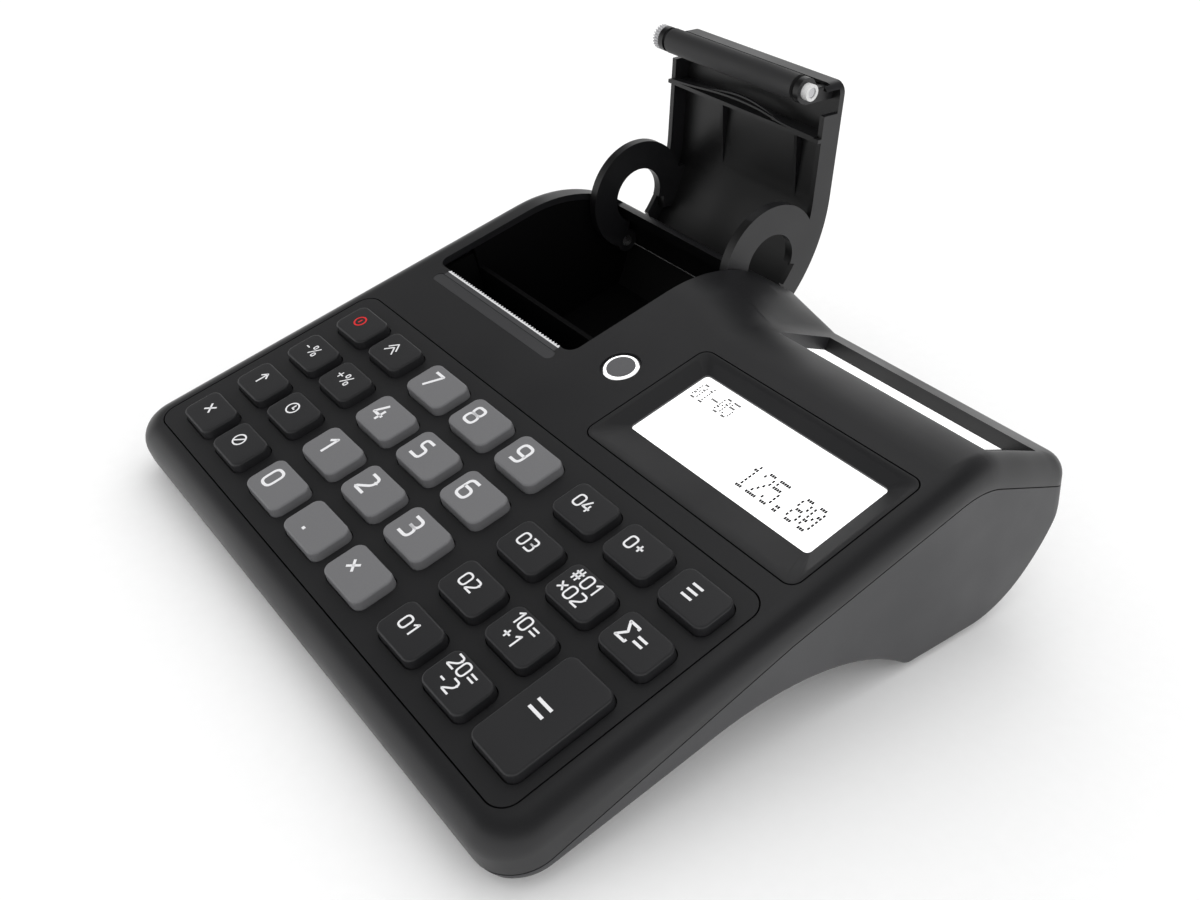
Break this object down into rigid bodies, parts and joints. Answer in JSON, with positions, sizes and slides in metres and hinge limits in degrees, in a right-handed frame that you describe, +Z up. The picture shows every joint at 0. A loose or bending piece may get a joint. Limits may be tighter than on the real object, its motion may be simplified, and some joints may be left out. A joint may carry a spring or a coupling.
{
  "type": "ticket register",
  "caption": "Portable ticket register: wedge-shaped case, keypad with grey number keys, operator display, rear customer display, paper bay with printer under a hinged cover",
  "frame": {"origin": "on the desk under the middle of the overall bounding box, cover open", "axes": "+X to the right as seen by the person at the keys, +Y away from them to the back, +Z up; the width over the case is along X"},
  "size_m": [0.193, 0.1992, 0.1123],
  "materials": {
    "case_black": "moulded fine grain",
    "case_grey": "moulded fine grain",
    "panel_black": "satin",
    "key_grey": "satin",
    "key_black": "satin",
    "display": "reflective liquid crystal display",
    "light_ring": "diffusing",
    "steel": "rolled strip",
    "white_plastic": "moulded",
    "roller_rubber": "ground",
    "silicone": "moulded",
    "board": "solder mask",
    "feet_rubber": "moulded",
    "brass": "turned"
  },
  "bodies": {
    "case": {"battery_door": "case_grey", "battery_pack": "case_grey", "bottom_shell": "case_grey", "button_ring": "light_ring", "case_screws": "steel", "cover_pins": "steel", "customer_display": "display", "cutter_blade": "steel", "display_bezel": "panel_black", "display_module": "display", "feed_motor": "steel", "key_board": "board", "key_mat": "silicone", "keypad_panel": "panel_black", "main_board": "board", "mechanism_frame": "panel_black", "paper_bin": "case_black", "power_socket": "panel_black", "print_head": "white_plastic", "rubber_feet": "feet_rubber", "top_shell": "case_black"},
    "key_clear": {"key_clear": "key_black"},
    "key_alternate": {"key_alternate": "key_black"},
    "key_minus_percent": {"key_minus_percent": "key_black"},
    "key_power": {"key_power": "key_black"},
    "key_void": {"key_void": "key_black"},
    "key_clock": {"key_clock": "key_black"},
    "key_plus_percent": {"key_plus_percent": "key_black"},
    "key_paper_feed": {"key_paper_feed": "key_black"},
    "key_0": {"key_0": "key_grey"},
    "key_1": {"key_1": "key_grey"},
    "key_4": {"key_4": "key_grey"},
    "key_7": {"key_7": "key_grey"},
    "key_point": {"key_point": "key_grey"},
    "key_2": {"key_2": "key_grey"},
    "key_5": {"key_5": "key_grey"},
    "key_8": {"key_8": "key_grey"},
    "key_quantity": {"key_quantity": "key_grey"},
    "key_3": {"key_3": "key_grey"},
    "key_6": {"key_6": "key_grey"},
    "key_9": {"key_9": "key_grey"},
    "key_group_01": {"key_group_01": "key_black"},
    "key_group_02": {"key_group_02": "key_black"},
    "key_group_03": {"key_group_03": "key_black"},
    "key_group_04": {"key_group_04": "key_black"},
    "key_pay_second": {"key_pay_second": "key_black"},
    "key_pay_first": {"key_pay_first": "key_black"},
    "key_lookup": {"key_lookup": "key_black"},
    "key_shift": {"key_shift": "key_black"},
    "key_total": {"key_total": "key_black"},
    "key_subtotal": {"key_subtotal": "key_black"},
    "key_mode": {"key_mode": "key_black"},
    "release_button": {"release_button": "case_grey"},
    "cover": {"paper_cover": "case_black", "platen_bushes": "white_plastic"},
    "platen": {"platen_roller": "roller_rubber", "platen_shaft": "steel", "platen_gear": "white_plastic"},
    "drive": {"drive_gear": "white_plastic"},
    "pinion": {"motor_pinion": "brass"}
  },
  "joints": [
    {"name": "key_clear_press", "type": "slide", "parent": "case", "child": "key_clear", "axis": [0, 0.2924, -0.9563], "range_m": [0, 0.002], "stiffness_N_per_m": 300, "springref_m": -0.0005},
    {"name": "key_alternate_press", "type": "slide", "parent": "case", "child": "key_alternate", "axis": [0, 0.2924, -0.9563], "range_m": [0, 0.002], "stiffness_N_per_m": 300, "springref_m": -0.0005},
    {"name": "key_minus_percent_press", "type": "slide", "parent": "case", "child": "key_minus_percent", "axis": [0, 0.2924, -0.9563], "range_m": [0, 0.002], "stiffness_N_per_m": 300, "springref_m": -0.0005},
    {"name": "key_power_press", "type": "slide", "parent": "case", "child": "key_power", "axis": [0, 0.2924, -0.9563], "range_m": [0, 0.002], "stiffness_N_per_m": 300, "springref_m": -0.0005},
    {"name": "key_void_press", "type": "slide", "parent": "case", "child": "key_void", "axis": [0, 0.2924, -0.9563], "range_m": [0, 0.002], "stiffness_N_per_m": 300, "springref_m": -0.0005},
    {"name": "key_clock_press", "type": "slide", "parent": "case", "child": "key_clock", "axis": [0, 0.2924, -0.9563], "range_m": [0, 0.002], "stiffness_N_per_m": 300, "springref_m": -0.0005},
    {"name": "key_plus_percent_press", "type": "slide", "parent": "case", "child": "key_plus_percent", "axis": [0, 0.2924, -0.9563], "range_m": [0, 0.002], "stiffness_N_per_m": 300, "springref_m": -0.0005},
    {"name": "key_paper_feed_press", "type": "slide", "parent": "case", "child": "key_paper_feed", "axis": [0, 0.2924, -0.9563], "range_m": [0, 0.002], "stiffness_N_per_m": 300, "springref_m": -0.0005},
    {"name": "key_0_press", "type": "slide", "parent": "case", "child": "key_0", "axis": [0, 0.2924, -0.9563], "range_m": [0, 0.002], "stiffness_N_per_m": 300, "springref_m": -0.0005},
    {"name": "key_1_press", "type": "slide", "parent": "case", "child": "key_1", "axis": [0, 0.2924, -0.9563], "range_m": [0, 0.002], "stiffness_N_per_m": 300, "springref_m": -0.0005},
    {"name": "key_4_press", "type": "slide", "parent": "case", "child": "key_4", "axis": [0, 0.2924, -0.9563], "range_m": [0, 0.002], "stiffness_N_per_m": 300, "springref_m": -0.0005},
    {"name": "key_7_press", "type": "slide", "parent": "case", "child": "key_7", "axis": [0, 0.2924, -0.9563], "range_m": [0, 0.002], "stiffness_N_per_m": 300, "springref_m": -0.0005},
    {"name": "key_point_press", "type": "slide", "parent": "case", "child": "key_point", "axis": [0, 0.2924, -0.9563], "range_m": [0, 0.002], "stiffness_N_per_m": 300, "springref_m": -0.0005},
    {"name": "key_2_press", "type": "slide", "parent": "case", "child": "key_2", "axis": [0, 0.2924, -0.9563], "range_m": [0, 0.002], "stiffness_N_per_m": 300, "springref_m": -0.0005},
    {"name": "key_5_press", "type": "slide", "parent": "case", "child": "key_5", "axis": [0, 0.2924, -0.9563], "range_m": [0, 0.002], "stiffness_N_per_m": 300, "springref_m": -0.0005},
    {"name": "key_8_press", "type": "slide", "parent": "case", "child": "key_8", "axis": [0, 0.2924, -0.9563], "range_m": [0, 0.002], "stiffness_N_per_m": 300, "springref_m": -0.0005},
    {"name": "key_quantity_press", "type": "slide", "parent": "case", "child": "key_quantity", "axis": [0, 0.2924, -0.9563], "range_m": [0, 0.002], "stiffness_N_per_m": 300, "springref_m": -0.0005},
    {"name": "key_3_press", "type": "slide", "parent": "case", "child": "key_3", "axis": [0, 0.2924, -0.9563], "range_m": [0, 0.002], "stiffness_N_per_m": 300, "springref_m": -0.0005},
    {"name": "key_6_press", "type": "slide", "parent": "case", "child": "key_6", "axis": [0, 0.2924, -0.9563], "range_m": [0, 0.002], "stiffness_N_per_m": 300, "springref_m": -0.0005},
    {"name": "key_9_press", "type": "slide", "parent": "case", "child": "key_9", "axis": [0, 0.2924, -0.9563], "range_m": [0, 0.002], "stiffness_N_per_m": 300, "springref_m": -0.0005},
    {"name": "key_group_01_press", "type": "slide", "parent": "case", "child": "key_group_01", "axis": [0, 0.2924, -0.9563], "range_m": [0, 0.002], "stiffness_N_per_m": 300, "springref_m": -0.0005},
    {"name": "key_group_02_press", "type": "slide", "parent": "case", "child": "key_group_02", "axis": [0, 0.2924, -0.9563], "range_m": [0, 0.002], "stiffness_N_per_m": 300, "springref_m": -0.0005},
    {"name": "key_group_03_press", "type": "slide", "parent": "case", "child": "key_group_03", "axis": [0, 0.2924, -0.9563], "range_m": [0, 0.002], "stiffness_N_per_m": 300, "springref_m": -0.0005},
    {"name": "key_group_04_press", "type": "slide", "parent": "case", "child": "key_group_04", "axis": [0, 0.2924, -0.9563], "range_m": [0, 0.002], "stiffness_N_per_m": 300, "springref_m": -0.0005},
    {"name": "key_pay_second_press", "type": "slide", "parent": "case", "child": "key_pay_second", "axis": [0, 0.2924, -0.9563], "range_m": [0, 0.002], "stiffness_N_per_m": 300, "springref_m": -0.0005},
    {"name": "key_pay_first_press", "type": "slide", "parent": "case", "child": "key_pay_first", "axis": [0, 0.2924, -0.9563], "range_m": [0, 0.002], "stiffness_N_per_m": 300, "springref_m": -0.0005},
    {"name": "key_lookup_press", "type": "slide", "parent": "case", "child": "key_lookup", "axis": [0, 0.2924, -0.9563], "range_m": [0, 0.002], "stiffness_N_per_m": 300, "springref_m": -0.0005},
    {"name": "key_shift_press", "type": "slide", "parent": "case", "child": "key_shift", "axis": [0, 0.2924, -0.9563], "range_m": [0, 0.002], "stiffness_N_per_m": 300, "springref_m": -0.0005},
    {"name": "key_total_press", "type": "slide", "parent": "case", "child": "key_total", "axis": [0, 0.2924, -0.9563], "range_m": [0, 0.002], "stiffness_N_per_m": 300, "springref_m": -0.0005},
    {"name": "key_subtotal_press", "type": "slide", "parent": "case", "child": "key_subtotal", "axis": [0, 0.2924, -0.9563], "range_m": [0, 0.002], "stiffness_N_per_m": 300, "springref_m": -0.0005},
    {"name": "key_mode_press", "type": "slide", "parent": "case", "child": "key_mode", "axis": [0, 0.2924, -0.9563], "range_m": [0, 0.002], "stiffness_N_per_m": 300, "springref_m": -0.0005},
    {"name": "release_button_press", "type": "slide", "parent": "case", "child": "release_button", "axis": [0, 0.2924, -0.9563], "range_m": [0, 0.0015], "stiffness_N_per_m": 400, "springref_m": -0.0005},
    {"name": "cover_hinge", "type": "hinge", "parent": "case", "child": "cover", "pos_m": [-0.0508, 0.07322, 0.04038], "axis": [1, 0, 0], "range_deg": [0, 104.5]},
    {"name": "platen_spin", "type": "hinge", "parent": "cover", "child": "platen", "pos_m": [-0.0508, 0.08466, 0.10834], "axis": [1, 0, 0], "continuous": true},
    {"name": "drive_spin", "type": "hinge", "parent": "case", "child": "drive", "pos_m": [-0.081, 0.00745, 0.02497], "axis": [1, 0, 0], "continuous": true},
    {"name": "pinion_spin", "type": "hinge", "parent": "case", "child": "pinion", "pos_m": [-0.081, 0.00098, 0.02168], "axis": [1, 0, 0], "continuous": true}
  ],
  "couplings": [
    {"joint": "pinion_spin", "follows": "drive_spin", "ratio": -3}
  ]
}
